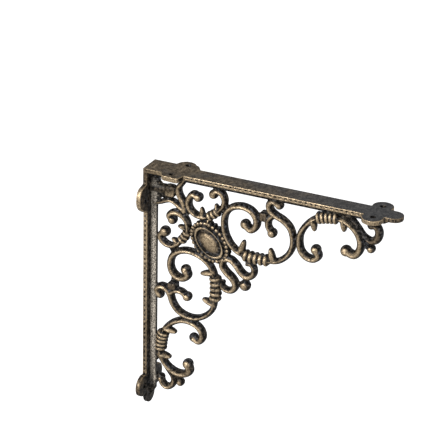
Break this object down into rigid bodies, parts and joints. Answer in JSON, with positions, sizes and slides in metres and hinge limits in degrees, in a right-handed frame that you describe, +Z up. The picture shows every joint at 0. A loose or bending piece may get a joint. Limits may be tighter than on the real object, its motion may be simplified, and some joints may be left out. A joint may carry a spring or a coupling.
{
  "type": "shelf bracket",
  "caption": "Ornate cast iron shelf bracket with two equal arms at a right angle, screw ears, and openwork of C-scrolls round an oval beaded medallion.",
  "frame": {"origin": "middle of the flat wall face: halfway down the wall arm, on the line between its edges", "axes": "+X out from the wall along the shelf arm, +Z up to the shelf face, Y across the arms"},
  "size_m": [0.25, 0.0496, 0.25],
  "materials": {
    "brushed_iron": "near-black paint with antique bronze brushed over the raised parts"
  },
  "bodies": {
    "root": {"bracket_casting": "brushed_iron"}
  },
  "joints": []
}
